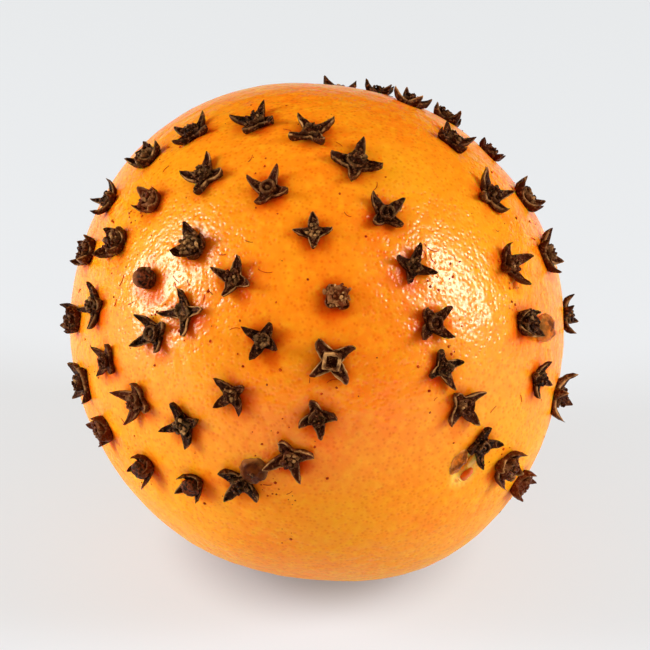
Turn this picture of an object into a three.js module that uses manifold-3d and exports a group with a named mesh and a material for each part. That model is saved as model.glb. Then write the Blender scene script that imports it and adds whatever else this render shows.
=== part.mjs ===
// A clove pomander: a whole orange with dried cloves pushed into its peel, their heads left
// standing in one spiral that opens from the front left and winds on round the back.
// Millimetres, +Z up, front towards -Y. The orange stands on a small flat spot at the origin.

import * as THREE from "three";
import { mergeVertices } from "three/addons/utils/BufferGeometryUtils.js";
import Module from "manifold-3d";

// Driving dimensions, in millimetres and degrees.
const ORANGE_DIAMETER = 80;
const CENTRE_HEIGHT = 39; // a millimetre under the radius, which leaves a flat spot to stand on
const ELONGATION = 0.016; // how much longer the fruit is along its slanting long axis
const PEEL_DETAIL = 11; // splits of each edge of the icosahedron behind the peel

const CLOVE_SPAN = 8; // a calyx from sepal tip to sepal tip
const CLOVE_NECK = 3.2; // the stalk's square top, corner to corner, where it enters the peel
const NECK_SINK = 1.6; // how far the modelled stalk reaches into the peel
const SEPAL_RISE = 2.4; // height of the sepal tips over the peel
const SEPAL_GAP = 3.9; // width across the notches between the sepals
const NOTCH_RISE = 0.8; // height of those notches over the peel, at the cup's upper edge
const RIM_WIDTH = 3.4; // the square rim in the middle of the calyx, corner to corner
const RIM_FOOT = 1.0; // the rim stands in the calyx from this height over the peel
const RIM_RISE = 1.9; // up to this one
const PIT_WIDTH = 2.2; // the pit inside that rim, corner to corner
const PIT_RISE = 1.1; // height of the pit's floor over the peel
const BUD_WIDTH = 4.4; // a round bud, with or without sepals round it
const BUD_RISE = 3.0;
const HEAD_HEIGHT = 1.4; // height over the peel of the point by which a head is placed

// The front is described as it is seen from a point above and in front of the orange.
const VIEW_ELEVATION = 30;
const VIEW_DISTANCE = 420;

// The back's spiral: it keeps this step along its line and this pitch from turn to turn.
const CLOVE_STEP = 10.2;
const TURN_PITCH = 20;
const HEART_CLOCK = 170; // the spiral's heart, seen from the front
const HEART_TILT = 33;
const BACK_STARTS_AT = 74; // degrees from the heart
const BACK_ENDS_AT = 168;
const LOWEST_LATITUDE = -44; // no clove sits lower than this, clear of the table
const HIDDEN_TILT = 111; // past this angle from the viewpoint a head is out of sight
const LEAST_SPACING = 8.6;

const rad = THREE.MathUtils.degToRad;
const centre = new THREE.Vector3(0, 0, CENTRE_HEIGHT);
const viewRight = new THREE.Vector3(1, 0, 0);
const viewUp = new THREE.Vector3(0, Math.sin(rad(VIEW_ELEVATION)), Math.cos(rad(VIEW_ELEVATION)));
const toViewer = new THREE.Vector3().crossVectors(viewRight, viewUp);
const viewpoint = centre.clone().addScaledVector(toViewer, VIEW_DISTANCE);

// A direction from the orange's middle: tilt is its angle from the viewpoint, and clock the
// way it leans as seen from there, from 0 on the right through 90 at the top.
function frontDirection(clock, tilt) {
  return toViewer
    .clone()
    .multiplyScalar(Math.cos(rad(tilt)))
    .addScaledVector(viewRight, Math.sin(rad(tilt)) * Math.cos(rad(clock)))
    .addScaledVector(viewUp, Math.sin(rad(tilt)) * Math.sin(rad(clock)));
}

const longAxis = frontDirection(-51, 90);
const heart = frontDirection(HEART_CLOCK, HEART_TILT);
const stemEnd = heart.clone().negate();

// Gentle swellings and flats of the peel: place, reach over the peel in degrees, rise in mm.
const swellings = [
  { at: frontDirection(128, 86), spread: 20, rise: 0.65 },
  { at: frontDirection(-62, 86), spread: 16, rise: 0.75 },
  { at: frontDirection(-12, 86), spread: 20, rise: -0.9 },
  { at: frontDirection(-97, 86), spread: 14, rise: -0.5 },
  { at: frontDirection(84, 86), spread: 13, rise: -0.45 },
  { at: frontDirection(170, 125), spread: 30, rise: 0.6 },
  { at: frontDirection(20, 140), spread: 26, rise: -0.5 },
  { at: stemEnd, spread: 13, rise: -1.1 },
];

function peelRadius(direction) {
  const along = direction.dot(longAxis);
  let radius = (ORANGE_DIAMETER / 2) * (1 + ELONGATION * (2 * along * along - 1));
  for (const { at, spread, rise } of swellings) {
    const off = direction.angleTo(at) / rad(spread);
    radius += rise * Math.exp(-off * off);
  }
  return radius;
}

function peelPoint(direction, height = 0) {
  return centre.clone().addScaledVector(direction, peelRadius(direction) + height);
}

// Millimetres right and up of the orange's middle, as a point is seen from the viewpoint.
function seenAt(point) {
  const ray = point.clone().sub(viewpoint);
  const scale = VIEW_DISTANCE / -ray.dot(toViewer);
  return new THREE.Vector2(ray.dot(viewRight) * scale, ray.dot(viewUp) * scale);
}

// The direction from the orange's middle to what is seen at a place, a given height over the peel.
function directionSeenAt(right, up, height) {
  const aim = centre.clone().addScaledVector(viewRight, right).addScaledVector(viewUp, up);
  const ray = new THREE.Ray(viewpoint, aim.sub(viewpoint).normalize());
  const direction = toViewer.clone();
  const hit = new THREE.Vector3();
  for (let round = 0; round < 6; round += 1) {
    const ball = new THREE.Sphere(centre, peelRadius(direction) + height);
    if (!ray.intersectSphere(ball, hit)) ray.closestPointToPoint(centre, hit);
    direction.copy(hit).sub(centre).normalize();
  }
  return direction;
}

// The cloves on the front, in their order along the spiral from its heart outwards. Each has the
// place of its head, the way one sepal points on the view, and its kind when it isn't open.
// seen gives the place as millimetres right and up of the middle, edge as clock and tilt.
function seen(right, up, sepal, kind = "open") {
  return { direction: directionSeenAt(right, up, HEAD_HEIGHT), sepal, kind };
}

function edge(clock, tilt, sepal, kind = "open") {
  return { direction: frontDirection(clock, tilt), sepal, kind };
}

const heartTurns = [
  seen(-22.1, 3.4, 100),
  seen(-27.4, 0, 47),
  seen(-28.4, 8.7, 0, "ball"),
  seen(-21.2, 14.5, 34),
  seen(-14.3, 8.9, 74),
  seen(-9.6, -1.3, 63),
  seen(-14.7, -10.1, 37),
  seen(-22.3, -15.3, 107),
  seen(-30.5, -11.1, 156),
  seen(-35.3, -4.6, 139),
  seen(-36.6, 4.7, 104),
  seen(-33.4, 14.5, 115),
  seen(-27.9, 21.6, 212, "broken"),
  seen(-19.1, 25.6, 81),
  seen(-8.9, 23.7, 70),
  seen(-1.1, 16.6, 60, "broken"),
  seen(2.8, 5.6, 40, "broken"),
  seen(2.0, -5.0, 35),
  seen(-0.6, -14.0, 6),
  seen(-4.9, -20.6, -64),
];

const outerTurn = [
  seen(-13.1, -25.1, -33, "capped"),
  seen(-20.9, -24.8, -66, "budded"),
  seen(-28.7, -22.0, 131),
  seen(-35.5, -15.8, 158),
  edge(-168, 74, 129),
  edge(177, 73, 109),
  edge(161, 71, 110, "budded"),
  edge(148, 73, 77),
  seen(-28.4, 28.8, 50),
  seen(-21.2, 33.0, 47),
  seen(-10.7, 34.4, 12),
  seen(-1.2, 33.0, 28),
  seen(5.9, 27.7, -4),
  seen(10.8, 19.8, 41),
  seen(15.2, 11.1, 76),
  seen(19.0, 1.5, 42),
  seen(20.5, -5.9, 22),
  seen(23.6, -12.2, 35),
  seen(26.5, -19.2, -99, "capped"),
  seen(30.5, -21.9, 45),
  edge(-37, 76, 19),
];

const rightRows = [
  seen(21.8, 31.6, -3),
  seen(27.9, 22.5, 107),
  seen(31.6, 11.3, 103),
  seen(34.3, 1.6, 56, "capped"),
  seen(35.8, -7.7, 61),
  edge(86, 96, 20),
  edge(76.5, 89, 16),
  edge(68.6, 83, 4),
  edge(59.4, 92, -27),
  edge(46.7, 84, -23),
  edge(33.2, 77, 102),
  seen(36.9, 13.4, 85),
  edge(4, 80, 79),
  edge(-15, 78, 60),
];

// Half-shed buds beside their calyx: place on the view, length and width, and the way they lie.
const shedBuds = [
  { right: -10.6, up: -22.4, length: 4.4, width: 3.6, lies: 60 },
  { right: 22.3, up: -20.6, length: 4.6, width: 3.0, lies: 75 },
  { right: 36.3, up: 0.8, length: 4.4, width: 2.8, lies: 80 },
];

// A split in the peel beside one clove, where the flesh shows.
const split = { right: 24.0, up: -23.1, length: 3.4, width: 1.7, depth: 1.1, lies: 25 };

// A repeatable number from 0 to 1 for a place's count and a use.
function chance(count, use) {
  const wave = Math.sin(count * 12.9898 + use * 78.233) * 43758.5453;
  return wave - Math.floor(wave);
}

function kindByChance(count) {
  const draw = chance(count, 1);
  if (draw < 0.1) return "broken";
  if (draw < 0.16) return "ball";
  if (draw < 0.26) return "budded";
  return "open";
}

// The spiral's line on the back, round the heart. The line is walked in even steps, and a clove
// is left out where it would come into sight, too low, or onto another one.
function backTurns(taken) {
  const side = new THREE.Vector3().crossVectors(heart, viewUp).normalize();
  const placed = [];
  let reach = BACK_STARTS_AT;
  let turn = 0;
  for (let count = 0; reach < BACK_ENDS_AT; count += 1) {
    const wobble = TURN_PITCH * 0.12 * (2 * chance(count, 2) - 1);
    const direction = heart
      .clone()
      .applyAxisAngle(side, rad(reach + wobble))
      .applyAxisAngle(heart, rad(turn));
    const clear = [...taken, ...placed].every(
      (other) => direction.angleTo(other.direction) * (ORANGE_DIAMETER / 2) > LEAST_SPACING,
    );
    const hidden = direction.dot(toViewer) < Math.cos(rad(HIDDEN_TILT));
    const high = direction.z > Math.sin(rad(LOWEST_LATITUDE));
    if (clear && hidden && high) {
      placed.push({ direction, sepal: 360 * chance(count, 3), kind: kindByChance(count) });
    }
    const advance = (360 * CLOVE_STEP) / (Math.PI * ORANGE_DIAMETER * Math.sin(rad(reach)));
    turn += advance;
    reach += (TURN_PITCH * advance) / 360;
  }
  return placed;
}

// The clove's own frame: +Z along its axis, out of the peel, and +X along one sepal. The sepal is
// turned until its tip, seen from the viewpoint, points the stated way from the head.
function cloveFrame({ direction, sepal }) {
  const base = peelPoint(direction);
  const sideways = new THREE.Vector3().crossVectors(viewUp, direction).normalize();
  const head = seenAt(base.clone().addScaledVector(direction, HEAD_HEIGHT));
  const wanted = new THREE.Vector2(Math.cos(rad(sepal)), Math.sin(rad(sepal)));
  let best = sideways;
  let bestMatch = -2;
  for (let turn = 0; turn < 360; turn += 2) {
    const out = sideways.clone().applyAxisAngle(direction, rad(turn));
    const tip = base
      .clone()
      .addScaledVector(out, CLOVE_SPAN / 2)
      .addScaledVector(direction, SEPAL_RISE);
    const match = seenAt(tip).sub(head).normalize().dot(wanted);
    if (match > bestMatch) {
      bestMatch = match;
      best = out;
    }
  }
  const across = new THREE.Vector3().crossVectors(direction, best);
  return new THREE.Matrix4().makeBasis(best, across, direction).setPosition(base);
}

// Eight points round the axis, in turn towards a sepal and towards a notch.
function starRing(sepalRadius, sepalHeight, notchRadius, notchHeight, uneven = () => 1) {
  return Array.from({ length: 8 }, (_, k) => {
    const onSepal = k % 2 === 0;
    const radius = onSepal ? sepalRadius * uneven(k) : notchRadius;
    const angle = rad(45 * k);
    const height = onSepal ? sepalHeight * uneven(k + 8) : notchHeight;
    return new THREE.Vector3(radius * Math.cos(angle), radius * Math.sin(angle), height);
  });
}

function roundRing(radius, height) {
  return starRing(radius, height, radius, height);
}

// A square of eight points, two at each corner, its corners towards the sepals.
function squareRing(radius, height) {
  return Array.from({ length: 8 }, (_, k) => {
    const angle = rad(90 * Math.floor(k / 2));
    return new THREE.Vector3(radius * Math.cos(angle), radius * Math.sin(angle), height);
  });
}

// A closed skin over rings of eight points, lowest first. The sepals are always the second ring,
// and each notch between them is folded to the nearest corners of the squares below and above.
function skin(rings) {
  const corners = [];
  const first = rings[0];
  const last = rings[rings.length - 1];
  for (let k = 1; k < 7; k += 1) {
    corners.push(first[0], first[k + 1], first[k]);
    corners.push(last[0], last[k], last[k + 1]);
  }
  for (let r = 0; r + 1 < rings.length; r += 1) {
    for (let k = 0; k < 8; k += 1) {
      const next = (k + 1) % 8;
      const [low, lowNext] = [rings[r][k], rings[r][next]];
      const [high, highNext] = [rings[r + 1][k], rings[r + 1][next]];
      if (r === 0) corners.push(low, lowNext, high, lowNext, highNext, high);
      else corners.push(low, lowNext, highNext, low, highNext, high);
    }
  }
  return new THREE.BufferGeometry().setFromPoints(corners);
}

function openClove(count) {
  const uneven = (k) => 0.9 + 0.2 * chance(count, 10 + k);
  return skin([
    squareRing(CLOVE_NECK / 2, -NECK_SINK),
    starRing(CLOVE_SPAN / 2, SEPAL_RISE, SEPAL_GAP / 2, NOTCH_RISE, uneven),
    squareRing(RIM_WIDTH / 2, RIM_FOOT),
    squareRing(RIM_WIDTH / 2, RIM_RISE),
    squareRing(PIT_WIDTH / 2, RIM_RISE),
    squareRing(PIT_WIDTH / 3, PIT_RISE),
  ]);
}

// The round unopened bud still sits between the sepals.
function buddedClove(count) {
  const uneven = (k) => 0.85 + 0.15 * chance(count, 10 + k);
  return skin([
    squareRing(CLOVE_NECK / 2, -NECK_SINK),
    starRing(CLOVE_SPAN * 0.42, SEPAL_RISE, SEPAL_GAP / 2, NOTCH_RISE, uneven),
    roundRing(BUD_WIDTH * 0.4, BUD_RISE * 0.45),
    roundRing(BUD_WIDTH * 0.35, BUD_RISE * 0.8),
    squareRing(BUD_WIDTH * 0.16, BUD_RISE),
  ]);
}

// The sepals have crumbled to short stubs.
function brokenClove(count) {
  const uneven = (k) => 0.6 + 0.4 * chance(count, 10 + k);
  return skin([
    squareRing(CLOVE_NECK / 2, -NECK_SINK),
    starRing(CLOVE_SPAN * 0.4, SEPAL_RISE * 0.8, SEPAL_GAP / 2, NOTCH_RISE, uneven),
    squareRing(RIM_WIDTH * 0.5, RIM_FOOT),
    squareRing(RIM_WIDTH * 0.45, RIM_RISE),
  ]);
}

// Only the bare bud is left, without sepals.
function ballClove() {
  return skin([
    squareRing(CLOVE_NECK / 2, -NECK_SINK),
    roundRing(BUD_WIDTH * 0.43, BUD_RISE * 0.1),
    roundRing(BUD_WIDTH * 0.5, BUD_RISE * 0.45),
    roundRing(BUD_WIDTH * 0.35, BUD_RISE * 0.85),
    squareRing(BUD_WIDTH * 0.13, BUD_RISE),
  ]);
}

const cloveShapes = {
  open: openClove,
  capped: openClove,
  budded: buddedClove,
  broken: brokenClove,
  ball: ballClove,
};

// The fruit: an even ball drawn out to the peel's radius, flat where it stands.
function orangeGeometry() {
  const ball = new THREE.IcosahedronGeometry(1, PEEL_DETAIL);
  const position = ball.getAttribute("position");
  for (let i = 0; i < position.count; i += 1) {
    const direction = new THREE.Vector3().fromBufferAttribute(position, i).normalize();
    const point = peelPoint(direction);
    position.setXYZ(i, point.x, point.y, Math.max(point.z, 0));
  }
  return ball;
}

// An egg lying on the peel at a place on the view, its long axis the stated way.
function eggOnPeel({ right, up, length, width, lies }, depth, height) {
  const direction = directionSeenAt(right, up, height);
  const pointer = viewRight
    .clone()
    .multiplyScalar(Math.cos(rad(lies)))
    .addScaledVector(viewUp, Math.sin(rad(lies)));
  const across = new THREE.Vector3().crossVectors(direction, pointer).normalize();
  const along = new THREE.Vector3().crossVectors(across, direction);
  const frame = new THREE.Matrix4().makeBasis(along, across, direction);
  return new THREE.IcosahedronGeometry(1, 1)
    .scale(length / 2, width / 2, depth)
    .applyMatrix4(frame.setPosition(peelPoint(direction, height)));
}

// The dry button where the stalk sat, in the dimple opposite the spiral's heart.
function stemButton() {
  const upright = new THREE.Quaternion().setFromUnitVectors(new THREE.Vector3(0, 1, 0), stemEnd);
  const place = peelPoint(stemEnd);
  return new THREE.CylinderGeometry(2.1, 3.0, 2.0, 10)
    .applyQuaternion(upright)
    .translate(place.x, place.y, place.z);
}

const wasm = await Module();
wasm.setup();

// A closed geometry as a solid that can be joined and cut.
function solid(geometry) {
  const bare = geometry.clone();
  bare.deleteAttribute("normal");
  bare.deleteAttribute("uv");
  const merged = mergeVertices(bare, 1e-4);
  const corners = Array.from(merged.index.array);
  const triVerts = [];
  for (let i = 0; i < corners.length; i += 3) {
    const [a, b, c] = corners.slice(i, i + 3);
    if (a !== b && b !== c && c !== a) triVerts.push(a, b, c);
  }
  return new wasm.Manifold(
    new wasm.Mesh({
      numProp: 3,
      vertProperties: merged.getAttribute("position").array,
      triVerts: new Uint32Array(triVerts),
    }),
  );
}

function geometryOf(shape) {
  const mesh = shape.getMesh();
  const geometry = new THREE.BufferGeometry();
  geometry.setAttribute("position", new THREE.BufferAttribute(mesh.vertProperties, 3));
  geometry.setIndex(new THREE.BufferAttribute(mesh.triVerts, 1));
  geometry.computeVertexNormals();
  return geometry;
}

function studdedOrange() {
  const front = [...heartTurns, ...outerTurn, ...rightRows];
  const places = [...front, ...backTurns(front)];
  let shape = solid(orangeGeometry());
  shape = shape.subtract(solid(eggOnPeel(split, split.depth, 0)));
  shape = shape.add(solid(stemButton()));
  places.forEach((place, count) => {
    const clove = cloveShapes[place.kind](count).applyMatrix4(cloveFrame(place));
    shape = shape.add(solid(clove));
  });
  for (const bud of shedBuds) {
    shape = shape.add(solid(eggOnPeel(bud, bud.width / 2, bud.width * 0.3)));
  }
  return shape;
}

const peel = new THREE.MeshStandardMaterial({ color: "#F0821E", roughness: 0.45, metalness: 0 });
const pomander = new THREE.Mesh(geometryOf(studdedOrange()), peel);
pomander.name = "studded_orange";

const part = new THREE.Group();
part.add(pomander);

export default part;
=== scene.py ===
import math

import bmesh
import bpy
import numpy as np
from mathutils import Matrix, Vector, noise


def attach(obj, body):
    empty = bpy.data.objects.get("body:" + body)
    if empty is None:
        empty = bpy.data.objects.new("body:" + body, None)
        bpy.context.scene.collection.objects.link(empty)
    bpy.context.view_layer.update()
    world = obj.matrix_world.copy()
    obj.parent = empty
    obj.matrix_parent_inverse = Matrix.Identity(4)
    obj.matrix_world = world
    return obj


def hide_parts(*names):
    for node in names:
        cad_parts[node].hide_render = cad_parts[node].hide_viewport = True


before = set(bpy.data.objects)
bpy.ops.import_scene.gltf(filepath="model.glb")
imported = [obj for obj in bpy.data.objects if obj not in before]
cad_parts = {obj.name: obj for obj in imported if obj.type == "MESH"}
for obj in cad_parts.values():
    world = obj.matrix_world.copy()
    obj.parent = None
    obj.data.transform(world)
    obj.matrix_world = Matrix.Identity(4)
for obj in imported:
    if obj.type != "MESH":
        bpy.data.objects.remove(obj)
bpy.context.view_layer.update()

# ----------------------------------------------------------
# The view. The fruit is looked at from in front and 30 degrees above, at arm's length, with a
# long lens. Places on its front are given as they are seen from there.
# ----------------------------------------------------------
MM = 0.001
centre = Vector((0, 0, 39 * MM))
view_elevation = math.radians(30)
view_distance = 420 * MM
view_right = Vector((1, 0, 0))
view_up = Vector((0, math.sin(view_elevation), math.cos(view_elevation)))
to_viewer = view_right.cross(view_up)
viewpoint = centre + view_distance * to_viewer

camera_data = bpy.data.cameras.new("camera")
camera_data.lens = 144.6
camera_data.sensor_width = 36
camera_data.shift_x = 0.0083
camera_data.shift_y = 0.0109
camera_data.clip_start = 0.01
camera = bpy.data.objects.new("camera", camera_data)
axes = Matrix((view_right, view_up, to_viewer)).transposed()
camera.matrix_world = Matrix.Translation(viewpoint) @ axes.to_4x4()
bpy.context.scene.collection.objects.link(camera)
bpy.context.scene.camera = camera
bpy.context.scene.view_settings.view_transform = "Standard"


# ----------------------------------------------------------
# The studio: a painted pale table top with a faint light of its own, a white room, one window on
# each side whose light rakes across the peel, and a weak fill from below.
# ----------------------------------------------------------
def colour(hex_code):
    """An sRGB hex colour as linear RGBA."""
    parts = [int(hex_code[i : i + 2], 16) / 255 for i in (1, 3, 5)]
    return [c / 12.92 if c <= 0.04045 else ((c + 0.055) / 1.055) ** 2.4 for c in parts] + [1.0]


def add_node(tree, kind, inputs=None, **settings):
    """Adds a node with its settings. An input is a value, or a socket or a node to link from."""
    made = tree.nodes.new(kind)
    for name, value in settings.items():
        setattr(made, name, value)
    for name, value in (inputs or {}).items():
        if isinstance(value, bpy.types.Node):
            value = next(socket for socket in value.outputs if socket.enabled)
        if isinstance(value, bpy.types.NodeSocket):
            tree.links.new(value, made.inputs[name])
        else:
            made.inputs[name].default_value = value
    return made


def new_material(name):
    """An empty material and its tree."""
    material = bpy.data.materials.new(name)
    material.use_nodes = True
    material.node_tree.nodes.clear()
    return material, material.node_tree


table_size = 8
floor_bm = bmesh.new()
bmesh.ops.create_grid(floor_bm, x_segments=1, y_segments=1, size=table_size / 2)
floor_mesh = bpy.data.meshes.new("floor")
floor_bm.to_mesh(floor_mesh)
floor_bm.free()
floor = bpy.data.objects.new("floor", floor_mesh)
bpy.context.scene.collection.objects.link(floor)
table_paint, tree = new_material("pale_table_paint")

# The table's own light is shaded away where the fruit meets it.
place = add_node(tree, "ShaderNodeTexCoord").outputs["Object"]
from_foot = add_node(tree, "ShaderNodeVectorMath", {0: place}, operation="LENGTH").outputs["Value"]
shaded = add_node(
    tree,
    "ShaderNodeMapRange",
    {"Value": from_foot, "From Min": 12 * MM, "From Max": 29 * MM, "To Min": 0.22, "To Max": 0.57},
    interpolation_type="SMOOTHSTEP",
)
paint = add_node(
    tree,
    "ShaderNodeBsdfPrincipled",
    {
        "Base Color": colour("#828994"),
        "Roughness": 0.7,
        "Emission Color": colour("#FFFDF7"),
        "Emission Strength": shaded,
    },
)
add_node(tree, "ShaderNodeOutputMaterial", {"Surface": paint})
floor_mesh.materials.append(table_paint)

# The room is evenly pale, and the peel and cloves don't mirror it.
world = bpy.data.worlds.new("white_room")
bpy.context.scene.world = world
world.use_nodes = True
room = world.node_tree
room.nodes["Background"].inputs["Color"].default_value = colour("#FFFEFB")
room.nodes["Background"].inputs["Strength"].default_value = 0.4
world.cycles_visibility.glossy = False

window_distance = 0.9


def window(name, right, up, forward, width, height, power):
    """A soft light that stands where a direction of the view points, facing the fruit."""
    data = bpy.data.lights.new(name, "AREA")
    data.shape = "RECTANGLE"
    data.size = width
    data.size_y = height
    data.energy = power
    light = bpy.data.objects.new(name, data)
    towards = (right * view_right + up * view_up + forward * to_viewer).normalized()
    light.location = centre + window_distance * towards
    light.rotation_euler = towards.to_track_quat("Z", "Y").to_euler()
    bpy.context.scene.collection.objects.link(light)
    return light


window("window_left", -0.93, 0.28, 0.29, 0.28, 0.50, 8.3)
window("window_right", 0.85, 0.32, 0.42, 0.24, 0.44, 7.0)

# What the table throws back from below the camera, too faint to leave a highlight.
low_fill = window("low_fill", 0.05, -0.45, 0.9, 0.9, 0.5, 1.3)
low_fill.visible_glossy = False


# ----------------------------------------------------------
# Where the cloves stand. They were pushed in one after another along a spiral that opens on the
# front left, and it is carried on over the back in even steps.
# ----------------------------------------------------------
def front_direction(clock, tilt):
    """tilt is the angle from the viewpoint, clock the way it leans, from 0 on the right."""
    out = math.sin(math.radians(tilt))
    right = out * math.cos(math.radians(clock))
    up = out * math.sin(math.radians(clock))
    return math.cos(math.radians(tilt)) * to_viewer + right * view_right + up * view_up


orange_radius = 40 * MM
elongation = 0.016
long_axis = front_direction(-51, 90)
heart = front_direction(170, 33)
stem_end = -heart

# Gentle swellings and flats of the peel: place, reach over the peel in degrees, rise.
swellings = [
    (front_direction(128, 86), 20, 0.65 * MM),
    (front_direction(-62, 86), 16, 0.75 * MM),
    (front_direction(-12, 86), 20, -0.9 * MM),
    (front_direction(-97, 86), 14, -0.5 * MM),
    (front_direction(84, 86), 13, -0.45 * MM),
    (front_direction(170, 125), 30, 0.6 * MM),
    (front_direction(20, 140), 26, -0.5 * MM),
    (stem_end, 13, -1.1 * MM),
]


def peel_radius(directions):
    """The fruit's radius in each of the directions, an array of unit vectors."""
    along = directions @ np.array(long_axis)
    radius = orange_radius * (1 + elongation * (2 * along * along - 1))
    for at, spread, rise in swellings:
        off = np.arccos(np.clip(directions @ np.array(at), -1, 1)) / math.radians(spread)
        radius = radius + rise * np.exp(-off * off)
    return radius


def peel_point(direction):
    return centre + direction * float(peel_radius(np.array(direction)))


def seen_at(point):
    """Distance right and up of the fruit's middle, as a point is seen from the viewpoint."""
    ray = point - viewpoint
    scale = view_distance / -ray.dot(to_viewer)
    return Vector((ray.dot(view_right), ray.dot(view_up))) * scale


def direction_seen_at(right, up, height):
    """The direction from the middle to what is seen at a place, at a height over the peel. Each
    round takes the peel's radius where the last one ended."""
    ray = (centre + right * view_right + up * view_up - viewpoint).normalized()
    nearest = (centre - viewpoint).dot(ray)
    aside = (viewpoint + nearest * ray - centre).length
    direction = to_viewer
    rounds = 6
    for _ in range(rounds):
        reach = float(peel_radius(np.array(direction))) + height
        back = math.sqrt(max(reach * reach - aside * aside, 0.0))
        direction = (viewpoint + (nearest - back) * ray - centre).normalized()
    return direction


head_height = 1.4 * MM


def seen(right, up, sepal, kind="open", size=1.0):
    """A clove by where its head is seen, in millimetres, and where one sepal points."""
    return direction_seen_at(right * MM, up * MM, head_height), sepal, kind, size


def edge(clock, tilt, sepal, kind="open", size=1.0):
    """A clove by its direction, for the heads that are seen from the side."""
    return front_direction(clock, tilt), sepal, kind, size


heart_turns = [
    seen(-22.6, 3.3, 100, "slender", 0.94),
    seen(-27.6, -0.2, 47, "ringed", 0.94),
    seen(-28.7, 8.8, 0, "ball", 0.9),
    seen(-21.1, 14.3, 34, "crumbled", 1.05),
    seen(-14.4, 8.9, 74, size=0.91),
    seen(-9.5, -1.3, 63, size=0.88),
    seen(-14.7, -10.5, 37, size=0.84),
    seen(-22.7, -15.4, 122, size=0.97),
    seen(-30.5, -11.4, 156, size=0.98),
    seen(-35.5, -4.8, 139, "flat", 0.8),
    seen(-37.4, 4.3, 104, size=0.9),
    seen(-33.7, 14.9, 115, "crumbled", 1.16),
    seen(-28.1, 21.6, 212, "crumbled", 0.98),
    seen(-19.2, 25.9, 81, "flat", 1.01),
    seen(-8.5, 23.7, 70, "ringed", 0.94),
    seen(-1, 16.6, 92, size=0.8),
    seen(2.9, 5.9, 40, "worn"),
    seen(2, -4.8, 35, "rimmed", 1.06),
    seen(-0.4, -14.3, 6, size=0.89),
    seen(-4.9, -21, -70, size=1.01),
]
outer_turn = [
    seen(-13.1, -25.1, -46),
    seen(-20.9, -25.1, -66, "budded", 0.82),
    seen(-28.9, -22.2, 131, "budded", 0.86),
    seen(-35.7, -16.3, 158, "crumbled", 1.1),
    edge(-168, 72, 125, "flat", 1.04),
    edge(177, 73, 109, "crumbled", 1.15),
    edge(161, 71, 110, "crumbled", 1.07),
    edge(148, 72, 77, size=0.89),
    seen(-28.6, 28.9, 50, "crumbled", 1.05),
    seen(-21, 33.1, 60, size=0.92),
    seen(-10.7, 35, 14, "flat", 0.95),
    seen(-1.3, 33.2, 30, "slender", 1.03),
    seen(6.1, 28.1, -4, "flat", 1.08),
    seen(11.1, 19.6, 41, "ringed", 0.94),
    seen(15.6, 10.9, 70, size=0.86),
    seen(19, 1.5, 42, "ringed", 0.93),
    seen(20.7, -6, 22, size=0.85),
    seen(23.9, -12.3, 35, size=0.93),
    seen(26.9, -19, -90, "ringed", 0.88),
    seen(31, -22.3, 45, "crumbled", 1.17),
    edge(-37, 76, 19, "crumbled", 1.09),
]
right_rows = [
    seen(22.1, 31.8, -3, size=0.95),
    seen(28.5, 22.5, 107, size=1.03),
    seen(31.7, 11.2, 103, size=0.96),
    seen(34.3, 1.6, 56, "crumbled", 1.1),
    seen(36.5, -7.7, 61, size=0.8),
    edge(86, 102, 20),
    edge(76.5, 92, 16, size=0.78),
    edge(68.6, 80, 4, size=0.9),
    edge(59.2, 91.5, -27, "crumbled", 1.13),
    edge(46.7, 84, -23, size=0.82),
    edge(33.2, 77, 102, size=1.05),
    seen(37.7, 13, 85, size=1.03),
    edge(4, 84, 79, size=0.9),
    edge(-15, 78, 60, size=1.11),
]


def chance(count, use):
    """A repeatable number from 0 to 1 for a place's count and a use."""
    wave = math.sin(count * 12.9898 + use * 78.233) * 43758.5453
    return wave - math.floor(wave)


def kind_by_chance(count):
    draw = chance(count, 1)
    if draw < 0.2:
        return "crumbled"
    if draw < 0.3:
        return "ringed"
    if draw < 0.34:
        return "ball"
    return "budded" if draw < 0.4 else "open"


def back_turns(taken):
    """The spiral's line over the back, walked in even steps. A clove is left out where it would
    come into sight from the front, too low, or onto another one."""
    clove_step, least_spacing = 10.2 * MM, 8.6 * MM
    turn_pitch, first_reach, last_reach = 20, 74.0, 168
    out_of_sight = math.cos(math.radians(111))
    lowest = math.sin(math.radians(-44))
    side = heart.cross(view_up).normalized()
    placed = []
    reach, turn, count = first_reach, 0.0, 0
    while reach < last_reach:
        wobble = turn_pitch * 0.12 * (2 * chance(count, 2) - 1)
        direction = Matrix.Rotation(math.radians(reach + wobble), 3, side) @ heart
        direction = Matrix.Rotation(math.radians(turn), 3, heart) @ direction
        others = [other for other, _, _, _ in taken + placed]
        clear = all(direction.angle(o) * orange_radius > least_spacing for o in others)
        if clear and direction.dot(to_viewer) < out_of_sight and direction.z > lowest:
            size = 0.88 + 0.2 * chance(count, 4)
            placed.append((direction, 360 * chance(count, 3), kind_by_chance(count), size))
        advance = math.degrees(clove_step / (orange_radius * math.sin(math.radians(reach))))
        turn += advance
        reach += turn_pitch * advance / 360
        count += 1
    return placed


front_cloves = heart_turns + outer_turn + right_rows
cloves = front_cloves + back_turns(front_cloves)


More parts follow.
